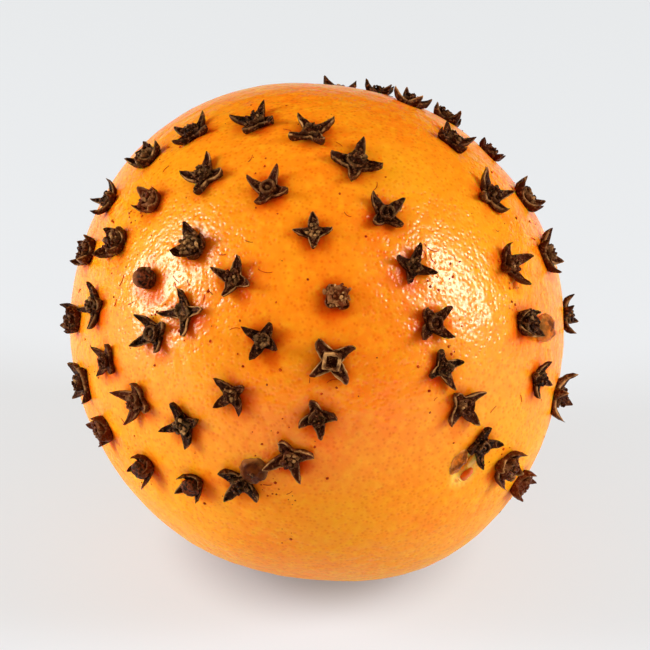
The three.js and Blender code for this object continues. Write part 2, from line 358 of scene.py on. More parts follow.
def clove_frame(direction, sepal):
    """The clove's own frame: +Z along its axis, out of the peel, and +X along one sepal, turned
    until that sepal's tip, seen from the viewpoint, points the stated way from the head."""
    base = peel_point(direction)
    sideways = view_up.cross(direction).normalized()
    head = seen_at(base + head_height * direction)
    wanted = Vector((math.cos(math.radians(sepal)), math.sin(math.radians(sepal))))
    best, best_match = sideways, -2
    for turn in range(0, 360, 2):
        out = Matrix.Rotation(math.radians(turn), 3, direction) @ sideways
        tip = seen_at(base + 4 * MM * out + 2.4 * MM * direction)
        match = (tip - head).normalized().dot(wanted)
        if match > best_match:
            best, best_match = out, match
    across = direction.cross(best)
    turned = Matrix((best, across, direction)).transposed().to_4x4()
    return Matrix.Translation(base) @ turned


# ----------------------------------------------------------
# The peel: the waxy, pored skin of a fresh orange, a little lumpy, pressed in where each clove
# went through, split open beside one of them, and flat where the fruit stands.
# ----------------------------------------------------------
def unevenness(points, wavelength, seed):
    """Smooth noise from about -1 to 1 at each point."""
    shift = Vector((seed, 2 * seed, 3 * seed))
    return np.array([noise.noise(Vector(p) / wavelength + shift) for p in points])


clove_feet = np.array([peel_point(direction) for direction, _, _, _ in cloves])
pit_depth, pit_reach = 0.45 * MM, 2.4 * MM


def skin_radius(directions):
    """The real skin's radius: the fruit's, with its lumps and a pit round each clove."""
    radius = peel_radius(directions)
    surface = np.array(centre) + directions * radius[:, None]
    radius = radius + 0.16 * MM * unevenness(surface, 9 * MM, 3)
    radius = radius + 0.06 * MM * unevenness(surface, 2.2 * MM, 7)
    for foot in clove_feet:
        away = np.linalg.norm(surface - foot, axis=1)
        radius = radius - pit_depth * np.exp(-((away / pit_reach) ** 2))
    return radius


def finish_piece(bm, name, material):
    """Turns a bmesh into a smooth piece that rides on the fruit."""
    bmesh.ops.recalc_face_normals(bm, faces=bm.faces)
    mesh = bpy.data.meshes.new(name)
    bm.to_mesh(mesh)
    bm.free()
    mesh.shade_smooth()
    mesh.materials.append(material)
    piece = bpy.data.objects.new(name, mesh)
    bpy.context.scene.collection.objects.link(piece)
    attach(piece, "root")
    return piece


# A cube cut into a fine grid and drawn out to a ball gives faces of one even size.
grid_cuts = 127
peel_bm = bmesh.new()
bmesh.ops.create_cube(peel_bm, size=2)
bmesh.ops.subdivide_edges(peel_bm, edges=peel_bm.edges, cuts=grid_cuts, use_grid_fill=True)
directions = np.tan(np.array([v.co for v in peel_bm.verts]) * math.pi / 4)
directions = directions / np.linalg.norm(directions, axis=1)[:, None]
surface = np.array(centre) + directions * peel_radius(directions)[:, None]


def lying(direction, points_to):
    """Two ways over the peel: the one an angle points to as seen from the front, and across."""
    angle = math.radians(points_to)
    pointer = math.cos(angle) * view_right + math.sin(angle) * view_up
    across = direction.cross(pointer).normalized()
    return across.cross(direction), across


# The split is an oval hollow with steep walls of pale pith.
split_place = direction_seen_at(23.7 * MM, -22.1 * MM, 0)
split_length, split_width, split_depth = 5.2 * MM, 3.8 * MM, 1.3 * MM
split_along, split_across = lying(split_place, 62)
offset = surface - np.array(peel_point(split_place))
oval = np.hypot(
    offset @ np.array(split_along) / (split_length / 2),
    offset @ np.array(split_across) / (split_width / 2),
)
in_split = (directions @ np.array(split_place) > 0) / (1 + np.exp((oval - 0.9) * 8))
pith = (directions @ np.array(split_place) > 0) * np.exp(-(((oval - 0.85) / 0.38) ** 2))

outside = np.array(centre) + directions * (skin_radius(directions) - split_depth * in_split)[:, None]
outside[:, 2] = np.maximum(outside[:, 2], 0)
for vert, point in zip(peel_bm.verts, outside):
    vert.co = point

# A deep red-orange ragged spot round each head, partly clove-oil stain, partly painted shadow. It is
# set a little down and towards the middle of the front, the side where the heads' shade falls.
stain_and_shadow = np.zeros(len(directions))
ragged = 3.0 * MM * (1 + 0.5 * unevenness(surface, 2.5 * MM, 11))
for count, foot in enumerate(clove_feet):
    toward_shade = -0.9 * MM * max(-1.0, min(1.0, foot[0] / (15 * MM))) * view_right - 0.5 * MM * view_up
    away = np.linalg.norm(surface - foot - np.array(toward_shade), axis=1)
    strength = 0.85 + 0.15 * chance(count, 9)
    stain_and_shadow = np.maximum(stain_and_shadow, strength * np.exp(-((away / ragged) ** 3)))

# Where the fruit ripened late it is yellower, and round the two window highlights a yellow
# painted sheen is laid on: place, reach in degrees, strength.
yellow_and_sheen_patches = [
    (front_direction(60, 42), 13, 1.0),
    (front_direction(150, 40), 26, 0.9),
    (front_direction(25, 42), 22, 0.95),
    (front_direction(-30, 50), 18, 0.75),
    (front_direction(-75, 50), 14, 0.4),
    (front_direction(185, 28), 18, 0.7),
    (front_direction(-140, 45), 24, 0.6),
    (front_direction(-8, 34), 14, 0.7),
    (front_direction(120, 60), 14, 0.3),
    (front_direction(-160, 120), 24, 0.6),
    (front_direction(40, 130), 20, 0.7),
]
yellow_and_sheen = np.zeros(len(directions))
blotch = unevenness(surface, 6 * MM, 17)
for at, reach, strength in yellow_and_sheen_patches:
    off = np.arccos(np.clip(directions @ np.array(at), -1, 1)) / math.radians(reach)
    yellow_and_sheen = np.maximum(yellow_and_sheen, strength * np.exp(-((off + 0.35 * blotch) ** 2)))

# Waxed citrus skin: light sinks a little way into it, and its pores break up a soft gloss.
peel_material, tree = new_material("waxy_orange_peel")
place = add_node(tree, "ShaderNodeTexCoord").outputs["Object"]

# Two oranges drift into each other over centimetres.
drift = add_node(tree, "ShaderNodeTexNoise", {"Vector": place, "Scale": 1 / (18 * MM), "Detail": 3.0})
drift_level = add_node(tree, "ShaderNodeMapRange", {"Value": drift, "From Min": 0.35, "From Max": 0.65})
ripe = add_node(
    tree,
    "ShaderNodeMix",
    {"Factor": drift_level, "A": colour("#F97D10"), "B": colour("#FA9414")},
    data_type="RGBA",
)
# This yellow is partly the skin's own and partly painted sheen round the highlights.
yellow_and_sheen_level = add_node(tree, "ShaderNodeAttribute", attribute_name="yellow_and_sheen").outputs["Fac"]
patched = add_node(
    tree, "ShaderNodeMix", {"Factor": yellow_and_sheen_level, "A": ripe, "B": colour("#F9A018")}, data_type="RGBA"
)

# Fine yellow mottling runs between the glands.
mottling = add_node(tree, "ShaderNodeTexNoise", {"Vector": place, "Scale": 1 / (1.3 * MM), "Detail": 4.0})
mottling_level = add_node(
    tree, "ShaderNodeMapRange", {"Value": mottling, "From Min": 0.45, "From Max": 0.7, "To Max": 0.6}
)
mottled = add_node(
    tree,
    "ShaderNodeMix",
    {"Factor": mottling_level, "A": patched, "B": colour("#FFA81C")},
    data_type="RGBA",
)

# Oil glands: fine deeper dots about 0.8 mm apart, each in a shallow dimple.
glands = add_node(
    tree, "ShaderNodeTexVoronoi", {"Vector": place, "Scale": 1 / (0.76 * MM), "Randomness": 0.8}
)
gland_dot = add_node(
    tree,
    "ShaderNodeMapRange",
    {"Value": glands, "From Min": 0.08, "From Max": 0.42, "To Min": 0.55, "To Max": 0.0},
)
dotted = add_node(
    tree, "ShaderNodeMix", {"Factor": gland_dot, "A": mottled, "B": colour("#E46400")}, data_type="RGBA"
)
# The red-orange round the heads: clove-oil stain with painted shadow in it.
stain_and_shadow_level = add_node(tree, "ShaderNodeAttribute", attribute_name="stain_and_shadow").outputs["Fac"]
stained_and_shaded = add_node(
    tree,
    "ShaderNodeMix",
    {"Factor": stain_and_shadow_level, "A": dotted, "B": colour("#CC3000")},
    data_type="RGBA",
)

pith_level = add_node(tree, "ShaderNodeAttribute", attribute_name="pith").outputs["Fac"]
skin_colour = add_node(
    tree,
    "ShaderNodeMix",
    {"Factor": pith_level, "A": stained_and_shaded, "B": colour("#EFBC58")},
    data_type="RGBA",
)

# The skin between the glands stands up in pebbles that break up its gloss.
dimple = add_node(
    tree,
    "ShaderNodeMapRange",
    {"Value": glands, "From Min": 0.0, "From Max": 0.6, "To Max": 0.2},
    interpolation_type="SMOOTHSTEP",
)
pebble = add_node(tree, "ShaderNodeTexNoise", {"Vector": place, "Scale": 1 / (2.2 * MM), "Detail": 2.0})
height = add_node(tree, "ShaderNodeMath", {0: pebble, 1: dimple}, operation="ADD")
bump = add_node(tree, "ShaderNodeBump", {"Height": height, "Strength": 1.0, "Distance": 0.27 * MM})

# Seen edge-on, the pores break up the gloss, so it fades there.
edge_on = add_node(tree, "ShaderNodeLayerWeight", {"Blend": 0.5})
gloss = add_node(
    tree,
    "ShaderNodeMapRange",
    {
        "Value": edge_on.outputs["Facing"],
        "From Min": 0.2,
        "From Max": 0.85,
        "To Min": 0.78,
        "To Max": 0.14,
    },
)

# The lower half has less wax, and the gloss is taken off the red-orange spots round the heads,
# where clove oil dulls the skin and shadow is painted.
high = add_node(tree, "ShaderNodeSeparateXYZ", {"Vector": place}).outputs["Z"]
wax = add_node(
    tree,
    "ShaderNodeMapRange",
    {"Value": high, "From Min": 32 * MM, "From Max": 54 * MM, "To Min": 0.15},
)
waxed = add_node(tree, "ShaderNodeMath", {0: gloss, 1: wax}, operation="MULTIPLY")
dulled_in_stain_and_shadow = add_node(tree, "ShaderNodeMapRange", {"Value": stain_and_shadow_level, "To Min": 1.0, "To Max": 0.0})
own_gloss = add_node(tree, "ShaderNodeMath", {0: waxed, 1: dulled_in_stain_and_shadow}, operation="MULTIPLY")
skin = add_node(
    tree,
    "ShaderNodeBsdfPrincipled",
    {
        "Base Color": skin_colour,
        "Roughness": 0.25,
        "IOR": 1.45,
        "Specular IOR Level": own_gloss,
        "Specular Tint": colour("#FFF8E6"),
        "Subsurface Weight": 1.0,
        "Subsurface Radius": [1.0, 0.16, 0.04],
        "Subsurface Scale": 2.0 * MM,
        "Normal": bump,
    },
)
add_node(tree, "ShaderNodeOutputMaterial", {"Surface": skin})

peel = finish_piece(peel_bm, "orange_peel", peel_material)
for name, values in (("stain_and_shadow", stain_and_shadow), ("yellow_and_sheen", yellow_and_sheen), ("pith", pith)):
    peel.data.attributes.new(name, "FLOAT", "POINT").data.foreach_set("value", values)
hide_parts("studded_orange")


# ----------------------------------------------------------
# The clove heads: the dried calyx of a flower bud, four thick sepals spread from a square disc.
# They are dark and wrinkled with a dull shine, and paler along their rolled edges. Their stalks
# are pushed into the fruit. Lengths in this section are millimetres in a head's own frame.
# ----------------------------------------------------------
def between(count, use, low, high):
    return low + (high - low) * chance(count, use)


class Sepal:
    """One sepal: its length from the head's axis, rise, sideways bend, width, bluntness, curl."""

    def __init__(self, count, k, reach, rise, loss):
        use = 10 * k
        self.length = reach * (1 - loss * chance(count, use + 10))
        self.rise = rise * between(count, use + 11, 0.8, 1.15)
        self.bend = between(count, use + 12, -7, 7)
        self.width = between(count, use + 13, 0.82, 1.06)
        self.blunt = between(count, use + 14, 1.1, 2.0)
        self.curl = between(count, use + 15, -0.1, 0.6)


# A ring round a head runs from notch to tip to notch of each sepal, in these steps.
sepal_steps = [0.0, 0.12, 0.28, 0.46, 0.63, 0.78, 0.9, 0.975, 1.0]
spokes = [
    (k, side, along)
    for k in range(4)
    for side, steps in ((-1, sepal_steps), (1, sepal_steps[-2:0:-1]))
    for along in steps
]


def star_ring(sepals, reach, width, notch, over):
    """A ring that follows the sepals: its reach and width as shares of theirs, its radius in the
    notches, and how far it lies over their middle surface."""
    corner = notch * math.cos(math.radians(45))
    points = []
    for k, side, along in spokes:
        sepal = sepals[k]
        out = corner + (sepal.length * reach - corner) * along
        share = max(out - corner, 0) / (sepal.length - corner)
        spread = 1 + (width * sepal.width - 1) * min(along / 0.3, 1)
        aside = side * corner * (1 - along**sepal.blunt) ** 0.66 * spread
        height = 0.35 + sepal.rise * share**1.7 + over
        out -= sepal.curl * share**5
        around = math.radians(90 * k + sepal.bend * share * share)
        x = out * math.cos(around) - aside * math.sin(around)
        y = out * math.sin(around) + aside * math.cos(around)
        points.append(Vector((x, y, height)))
    return points


def round_axis(radius, angle, height):
    """A point by its distance from the axis, its angle round it and its height."""
    return Vector((radius * math.cos(angle), radius * math.sin(angle), height))


def even_ring(radius, height, square=0.0):
    """A round ring, or with square at 1 one whose corners point to the sepals."""
    points = []
    for k, side, along in spokes:
        off = 45 * (1 - along)
        corner = math.cos(math.radians(45)) / math.cos(math.radians(45 - off))
        own = radius * (1 - square + square * corner)
        points.append(round_axis(own, math.radians(90 * k + side * off), height))
    return points


# Noise vectors start from the clock unless they are given a seed.
noise_seed = 1
noise.seed_set(noise_seed)


def wrinkled(point, seed, amount):
    """The point, shaken by noise of two sizes."""
    shift = Vector((seed * 7.31, seed * 3.17, seed * 1.93))
    shake = noise.noise_vector(point * 0.9 + shift) * 0.16
    shake += noise.noise_vector(point * 3.1 + shift) * 0.08
    return point + shake * amount


def new_shape():
    """An empty shape whose points can each be made pale."""
    bm = bmesh.new()
    bm.verts.layers.float.new("pale")
    return bm


def grow(bm, edges):
    """Extrudes a ring of edges, and gives its new edges and points."""
    grown = bmesh.ops.extrude_edge_only(bm, edges=edges)["geom"]
    edges = [g for g in grown if isinstance(g, bmesh.types.BMEdge)]
    return edges, [g for g in grown if isinstance(g, bmesh.types.BMVert)]


def lofted(rows, seed):
    """Extrudes a circle from ring to ring and closes both ends. Each row has its points, how
    pale they are and how much they are shaken."""
    bm = new_shape()
    spoke = bm.verts.layers.int.new("spoke")
    pale = bm.verts.layers.float["pale"]
    points, share, shaken = rows[0]
    first = bmesh.ops.create_circle(bm, segments=len(points), radius=1, cap_ends=True)["verts"]
    for index, vert in enumerate(first):
        vert[spoke] = index
        vert[pale] = share
        vert.co = wrinkled(points[index], seed, shaken)
    edges = bm.edges[:]
    for points, share, shaken in rows[1:]:
        edges, ring = grow(bm, edges)
        for vert in ring:
            vert.co = wrinkled(points[vert[spoke]], seed, shaken)
            vert[pale] = share
    bmesh.ops.contextual_create(bm, geom=edges)
    return bm


def calyx(count, kind):
    """The rows of one calyx, from inside the peel over the sepals to the foot of its middle."""
    openness = chance(count, 5)
    reach, rise, loss, waist = {
        "budded": (3.4, 2.6, 0.12, 0.94),
        "crumbled": (3.6, 1.6, 0.4, 1.0),
        "worn": (2.4, 0.7, 0.12, 0.98),
        "rimmed": (4.3, 1.2, 0.04, 0.86),
        "slender": (4.4, 1.2, 0.1, 0.76),
        "flat": (4.5, 1.1, 0.12, 0.86),
    }.get(kind, (4.0 + 0.4 * openness, 2.2 - 0.9 * openness, 0.12, 0.88))
    sepals = [Sepal(count, k, reach, rise, loss) for k in range(4)]
    rolled = 1.0 if kind in ("rimmed", "slender") else between(count, 6, 0.15, 1.0) ** 2
    return [
        (even_ring(1.3, -1.4, 0.5), 0, 1),
        (even_ring(1.6, -0.4, 0.4), 0, 1),
        (star_ring(sepals, 0.86, 0.45, 1.56 * waist, -1.1), 0, 1),
        (star_ring(sepals, 0.97, 0.86, 1.62 * waist, -0.75), 0, 1),
        (star_ring(sepals, 1.0, 1.0, 1.64 * waist, -0.26), 0.1 * rolled, 1),
        (star_ring(sepals, 0.995, 0.97, 1.6 * waist, 0.08), rolled, 1),
        (star_ring(sepals, 0.97, 0.86, 1.56 * waist, 0.16), 0.35 * rolled, 1),
        (star_ring(sepals, 0.92, 0.64, 1.52 * waist, 0.04), 0, 1),
        (star_ring(sepals, 0.78, 0.14, 1.47 * waist, -0.1), 0, 1),
    ]


def tan_rim():
    """A clean raised rim, square, round a dark pit."""
    return [
        (even_ring(1.72, 0.6, 0.85), 0, 0.8),
        (even_ring(1.72, 1.15, 0.85), 0.5, 0.8),
        (even_ring(1.58, 1.4, 0.85), 0.95, 1.2),
        (even_ring(1.3, 1.36, 0.8), 0.6, 1.2),
        (even_ring(1.12, 1.3, 0.8), 0.9, 1.2),
        (even_ring(1.0, 1.0, 0.8), 0.2, 0.6),
        (even_ring(0.95, 0.5, 0.8), 0, 0.6),
        (even_ring(0.25, 0.35), 0, 0.5),
    ]


def dull_ring(count):
    """A low worn ring, with the stub of the style in its middle."""
    square = between(count, 60, 0.1, 0.5)
    return [
        (even_ring(1.6, 0.55, 0.8), 0, 1),
        (even_ring(1.45, 1.0, square), 0.05, 1),
        (even_ring(1.25, 1.3, square), 0.15, 1),
        (even_ring(1.0, 1.3, square), 0.12, 1),
        (even_ring(0.82, 1.0, 0), 0, 1),
        (even_ring(0.7, 0.75), 0, 1),
        (even_ring(0.45, 0.75), 0, 1),
        (even_ring(0.36, 1.15), 0.12, 1),
        (even_ring(0.12, 1.3), 0.12, 1),
    ]


def rough_disc(count, wide=1.0, dusted=0.15):
    """The worn foot of the stamens and petals, a rough square."""
    high = between(count, 62, 0.9, 1.3)
    return [
        (even_ring(1.9 * wide, 0.5, 0.8), 0, 1.5),
        (even_ring(1.8 * wide, high, 0.8), dusted, 2.5),
        (even_ring(1.5 * wide, high + 0.15, 0.7), dusted, 3),
        (even_ring(1.15 * wide, high - 0.1, 0.5), dusted, 3),
        (even_ring(0.75 * wide, high - 0.3), 0, 3),
        (even_ring(0.3 * wide, high - 0.1), dusted, 2),
    ]


clove_material, tree = new_material("dried_clove")
place = add_node(tree, "ShaderNodeTexCoord").outputs["Object"]
grain = add_node(tree, "ShaderNodeTexNoise", {"Vector": place, "Scale": 1 / (1.1 * MM), "Detail": 5.0})
grain_level = add_node(tree, "ShaderNodeMapRange", {"Value": grain, "From Min": 0.4, "From Max": 0.68})
brown = add_node(
    tree,
    "ShaderNodeMix",
    {"Factor": grain_level, "A": colour("#080301"), "B": colour("#3A1405")},
    data_type="RGBA",
)

# Each head has its own tone, from black-brown to red-brown.
tone_level = add_node(tree, "ShaderNodeAttribute", attribute_name="tone").outputs["Fac"]
toned = add_node(
    tree, "ShaderNodeMix", {"Factor": tone_level, "A": brown, "B": colour("#642409")}, data_type="RGBA"
)

# Dust and broken fibres fleck them, and the dry edges are worn pale here and there.
fine = add_node(tree, "ShaderNodeTexNoise", {"Vector": place, "Scale": 1 / (0.45 * MM), "Detail": 3.0})
fleck_level = add_node(
    tree, "ShaderNodeMapRange", {"Value": fine, "From Min": 0.56, "From Max": 0.64, "To Max": 0.5}
)
flecked = add_node(
    tree, "ShaderNodeMix", {"Factor": fleck_level, "A": toned, "B": colour("#9A5C30")}, data_type="RGBA"
)
worn_spots = add_node(tree, "ShaderNodeTexNoise", {"Vector": place, "Scale": 1 / (1.9 * MM)})
worn_level = add_node(
    tree,
    "ShaderNodeMapRange",
    {"Value": worn_spots, "From Min": 0.43, "From Max": 0.56, "To Min": 0.06},
)
pale_level = add_node(tree, "ShaderNodeAttribute", attribute_name="pale").outputs["Fac"]
worn = add_node(tree, "ShaderNodeMath", {0: pale_level, 1: worn_level}, operation="MULTIPLY")
edged = add_node(
    tree, "ShaderNodeMix", {"Factor": worn, "A": flecked, "B": colour("#D89C5C")}, data_type="RGBA"
)
wrinkle_height = add_node(tree, "ShaderNodeMath", {0: fine, 1: grain}, operation="ADD")
wrinkles = add_node(
    tree, "ShaderNodeBump", {"Height": wrinkle_height, "Strength": 1.0, "Distance": 0.4 * MM}
)
husk = add_node(
    tree,
    "ShaderNodeBsdfPrincipled",
    {
        "Base Color": edged,
        "Roughness": 0.26,
        "Specular IOR Level": 0.22,
        "Specular Tint": colour("#E8A070"),
        "Normal": wrinkles,
    },
)
add_node(tree, "ShaderNodeOutputMaterial", {"Surface": husk})


def gather(whole, part, matrix, tone):
    """Adds one small shape to a piece, with its tone."""
    bmesh.ops.recalc_face_normals(part, faces=part.faces)
    bmesh.ops.transform(part, matrix=matrix @ Matrix.Scale(MM, 4), verts=part.verts)
    own_tone = part.verts.layers.float.new("tone")
    for vert in part.verts:
        vert[own_tone] = tone
    mesh = bpy.data.meshes.new("part")
    part.to_mesh(mesh)
    part.free()
    whole.from_mesh(mesh)
    bpy.data.meshes.remove(mesh)


# Tones given one by one: most of these heads are red-brown all over.
red_heads = {12: 0.8, 16: 0.9, 40: 0.7, 39: 0.6, 23: 0.6, 22: 0.5, 31: 0.1, 43: 0.4, 8: 0.5}


def tone_of(count):
    return red_heads.get(count, 0.35 * chance(count, 7) ** 2)


# How pale with dust the stubs are on a few heads.
dusty_heads = {15: 0.35, 16: 0.35, 3: 0.45, 7: 0.35, 21: 0.3, 22: 0.3}


def head_frame(clove):
    direction, sepal, _, size = clove
    return clove_frame(direction, sepal) @ Matrix.Scale(size, 4)


open_cloves = bmesh.new()
for count, clove in enumerate(cloves):
    kind = clove[2]
    if kind not in ("open", "ringed", "rimmed", "slender", "flat"):
        continue
    if kind == "rimmed":
        middle = tan_rim()
    elif kind == "ringed":
        middle = dull_ring(count)
    else:
        middle = rough_disc(count, 0.88)
    shape = lofted(calyx(count, kind) + middle, count)
    gather(open_cloves, shape, head_frame(clove), tone_of(count))
finish_piece(open_cloves, "open_cloves", clove_material)


# ----------------------------------------------------------
# Crumbled heads: dried calyxes whose brittle sepals have broken to uneven stubs round a square of
# crumbs. One is worn down to the square.
# ----------------------------------------------------------
crumbled_cloves = bmesh.new()
for count, clove in enumerate(cloves):
    if clove[2] in ("crumbled", "worn"):
        dusted = 0.25 if clove[2] == "worn" else 0.15
        shape = lofted(calyx(count, clove[2]) + rough_disc(count, 1.0, dusted), count)
        gather(crumbled_cloves, shape, head_frame(clove), tone_of(count))
finish_piece(crumbled_cloves, "crumbled_cloves", clove_material)


# ----------------------------------------------------------
# The stubs of the stamens: hard little lumps that crowd on the rough middles of the open and
# crumbled heads, dark or as pale as dust.
# ----------------------------------------------------------
def lump(bm, at, size, pale):
    """One uneven lump in the bmesh."""
    turn = Matrix.Rotation(at.x * 9, 4, "X") @ Matrix.Rotation(at.y * 7, 4, "Z")
    squash = Matrix.Diagonal((size, size * 0.75, size * 0.6, 1))
    matrix = Matrix.Translation(at) @ turn @ squash
    made = bmesh.ops.create_icosphere(bm, subdivisions=2, radius=1, matrix=matrix)["verts"]
    layer = bm.verts.layers.float["pale"]
    for vert in made:
        vert.co += noise.noise_vector(vert.co * 3) * size * 0.35
        vert[layer] = pale


# How many stubs a kind of head has, and how far out they stand. Each next one stands a golden
# angle further round.
heaps = {"open": (12, 1.25), "flat": (12, 1.25), "crumbled": (18, 1.7), "worn": (28, 2.0)}
golden_turn = 2.4
stamen_stubs = bmesh.new()
for count, clove in enumerate(cloves):
    if clove[2] not in heaps:
        continue
    heap = new_shape()
    many, wide = heaps[clove[2]]
    for k in range(many):
        around = golden_turn * k + chance(count, k + 70)
        out = wide * math.sqrt((k + 0.5) / many)
        high = 1.25 + 0.35 * chance(count, k + 90) - 0.12 * out * out
        pale = 0.7 * chance(count, k + 110) ** 4
        pale += dusty_heads.get(count, 0) * between(count, k + 150, 0.3, 1)
        size = between(count, k + 130, 0.22, 0.48)
        lump(heap, round_axis(out, around, high), size, pale)
    gather(stamen_stubs, heap, head_frame(clove), tone_of(count))
finish_piece(stamen_stubs, "stamen_stubs", clove_material)


# ----------------------------------------------------------
# Budded heads: the sepals still hold the round bud of folded petals, papery and mottled brown.
# On a few the sepals have broken off the bud, and only some scraps of them cling to one side.
# ----------------------------------------------------------
bud_material, tree = new_material("papery_bud")
place = add_node(tree, "ShaderNodeTexCoord").outputs["Object"]
mottle = add_node(tree, "ShaderNodeTexNoise", {"Vector": place, "Scale": 1 / (0.5 * MM), "Detail": 3.0})
mottle_level = add_node(
    tree, "ShaderNodeMapRange", {"Value": mottle, "From Min": 0.42, "From Max": 0.62}
)
petal_brown = add_node(
    tree,
    "ShaderNodeMix",
    {"Factor": mottle_level, "A": colour("#160502"), "B": colour("#6E2E14")},
    data_type="RGBA",
)
pale_level = add_node(tree, "ShaderNodeAttribute", attribute_name="pale").outputs["Fac"]
petal_pale = add_node(
    tree,
    "ShaderNodeMix",
    {"Factor": pale_level, "A": petal_brown, "B": colour("#B06A36")},
    data_type="RGBA",
)
petal_wrinkles = add_node(
    tree, "ShaderNodeBump", {"Height": mottle, "Strength": 1.0, "Distance": 0.3 * MM}
)
petals = add_node(
    tree,
    "ShaderNodeBsdfPrincipled",
    {
        "Base Color": petal_pale,
        "Roughness": 0.45,
        "Specular IOR Level": 0.2,
        "Specular Tint": colour("#E8A878"),
        "Normal": petal_wrinkles,
    },
)
add_node(tree, "ShaderNodeOutputMaterial", {"Surface": petals})


def bud_dome(wide, low, high, pale):
    """A round bud of folded petals, from its foot to its top."""
    tall = high - low
    return [
        (even_ring(wide * 0.72, low), 0, 1),
        (even_ring(wide * 0.95, low + tall * 0.3), 0.5 * pale, 1.5),
        (even_ring(wide, low + tall * 0.48), pale, 1.5),
        (even_ring(wide * 0.93, low + tall * 0.67), pale, 1.5),
        (even_ring(wide * 0.74, low + tall * 0.84), 0.6 * pale, 2),
        (even_ring(wide * 0.45, low + tall * 0.96), 0.3 * pale, 2.5),
        (even_ring(wide * 0.15, high - 0.3), 0, 1.5),
    ]


# A bare bud is painted paler on its left, away from the scraps: a painted highlight from the left window.
ball_radius = 1.85
budded_cloves = bmesh.new()
bud_balls = bmesh.new()
for count, clove in enumerate(cloves):
    if clove[2] == "budded":
        shape = lofted(calyx(count, "budded") + rough_disc(count), count)
        gather(budded_cloves, shape, head_frame(clove), tone_of(count))
        gather(bud_balls, lofted(bud_dome(1.75, 0.6, 2.8, 0.05), count), head_frame(clove), 0.5)
    if clove[2] == "ball":
        ball = lofted(bud_dome(ball_radius, -1.0, 2.9, 0), count)
        # Painted light: paler towards the lit left side, darker to the right.
        pale = ball.verts.layers.float["pale"]
        for vert in ball.verts:
            vert[pale] = max(0.0, 0.15 - 0.9 * vert.co.x / ball_radius)
        gather(bud_balls, ball, head_frame(clove), 0.5)
        scraps = new_shape()
        for k in range(9):
            around = 0.22 * k - 0.2 + 0.2 * chance(count, k + 200)
            high = between(count, k + 220, 0.4, 1.7)
            out = ball_radius * math.sqrt(max(0.05, 1 - ((high - 0.9) / 2.1) ** 2))
            size = between(count, k + 240, 0.25, 0.5)
            lump(scraps, round_axis(out, around, high), size, 0.1)
        gather(budded_cloves, scraps, head_frame(clove), 0.4)
finish_piece(budded_cloves, "budded_cloves", clove_material)
finish_piece(bud_balls, "bud_balls", bud_material)


# ----------------------------------------------------------
# Bud caps: on three heads the bud has come off as a thin hood of dry petals that lies beside
# them, translucent and painted paler round its rim as light glowing through the thin film.
# ----------------------------------------------------------
film_material, tree = new_material("bud_film")
place = add_node(tree, "ShaderNodeTexCoord").outputs["Object"]
film_tone = add_node(tree, "ShaderNodeAttribute", attribute_name="tone").outputs["Fac"]
film_veins = add_node(tree, "ShaderNodeTexNoise", {"Vector": place, "Scale": 1 / (1.2 * MM), "Detail": 3.0})
film_patch = add_node(
    tree, "ShaderNodeMapRange", {"Value": film_veins, "From Min": 0.4, "From Max": 0.6, "To Min": 0.15}
)
film_shade = add_node(tree, "ShaderNodeMath", {0: film_tone, 1: film_patch}, operation="MULTIPLY")
film_brown = add_node(
    tree,
    "ShaderNodeMix",
    {"Factor": film_shade, "A": colour("#3A0E04"), "B": colour("#D8701C")},
    data_type="RGBA",
)
film_pale = add_node(tree, "ShaderNodeAttribute", attribute_name="pale").outputs["Fac"]
film_rim = add_node(
    tree,
    "ShaderNodeMix",
    {"Factor": film_pale, "A": film_brown, "B": colour("#F0A050")},
    data_type="RGBA",
)
film_bump = add_node(
    tree, "ShaderNodeBump", {"Height": film_veins, "Strength": 1.0, "Distance": 0.3 * MM}
)
film = add_node(
    tree,
    "ShaderNodeBsdfPrincipled",
    {
        "Base Color": film_rim,
        "Roughness": 0.4,
        "Specular IOR Level": 0.2,
        "Specular Tint": colour("#E8A878"),
        "Subsurface Weight": 0.3,
        "Subsurface Radius": [1.0, 0.4, 0.2],
        "Subsurface Scale": 0.3 * MM,
        "Normal": film_bump,
    },
)
add_node(tree, "ShaderNodeOutputMaterial", {"Surface": film})


def seated(direction, points_to, height):
    """A frame on the real skin: +Z out of it, +X along it towards an angle as seen from the front."""
    along, across = lying(direction, points_to)
    reach = float(skin_radius(np.array([direction]))[0]) + height * MM
    turned = Matrix((along, across, direction)).transposed().to_4x4()
    return Matrix.Translation(centre + direction * reach) @ turned


def hood(length, width, high, rim, seed):
    """An oval cap, painted paler towards its rim as light through the thin film, in millimetres."""
    bm = new_shape()
    pale = bm.verts.layers.float["pale"]
    bmesh.ops.create_icosphere(bm, subdivisions=4, radius=1)
    for vert in bm.verts:
        # Painted light: the low rim is made paler, as light through the thin film.
        vert[pale] = rim * max(0.0, 1 - max(vert.co.z, 0) / 0.8) ** 1.6
        shape = Vector((vert.co.x * length / 2, vert.co.y * width / 2, vert.co.z * high))
        vert.co = wrinkled(shape, seed, 2.0)
    return bm


bud_caps = bmesh.new()
for right, up, points_to, length, width, high, height, tone, rim in (
    (-10.6, -22.2, 40, 4.6, 4.1, 1.4, 0.1, 0.1, 0.28),
    (36.3, 0.7, -68, 4.4, 3.2, 1.6, 0.9, 0.9, 0.8),
    (22.3, -20.9, 72, 4.4, 2.6, 0.7, -0.1, 0.95, 0.9),
):
    at = direction_seen_at(right * MM, up * MM, height * MM)
    gather(bud_caps, hood(length, width, high, rim, right), seated(at, points_to, height), tone)
finish_piece(bud_caps, "bud_caps", film_material)


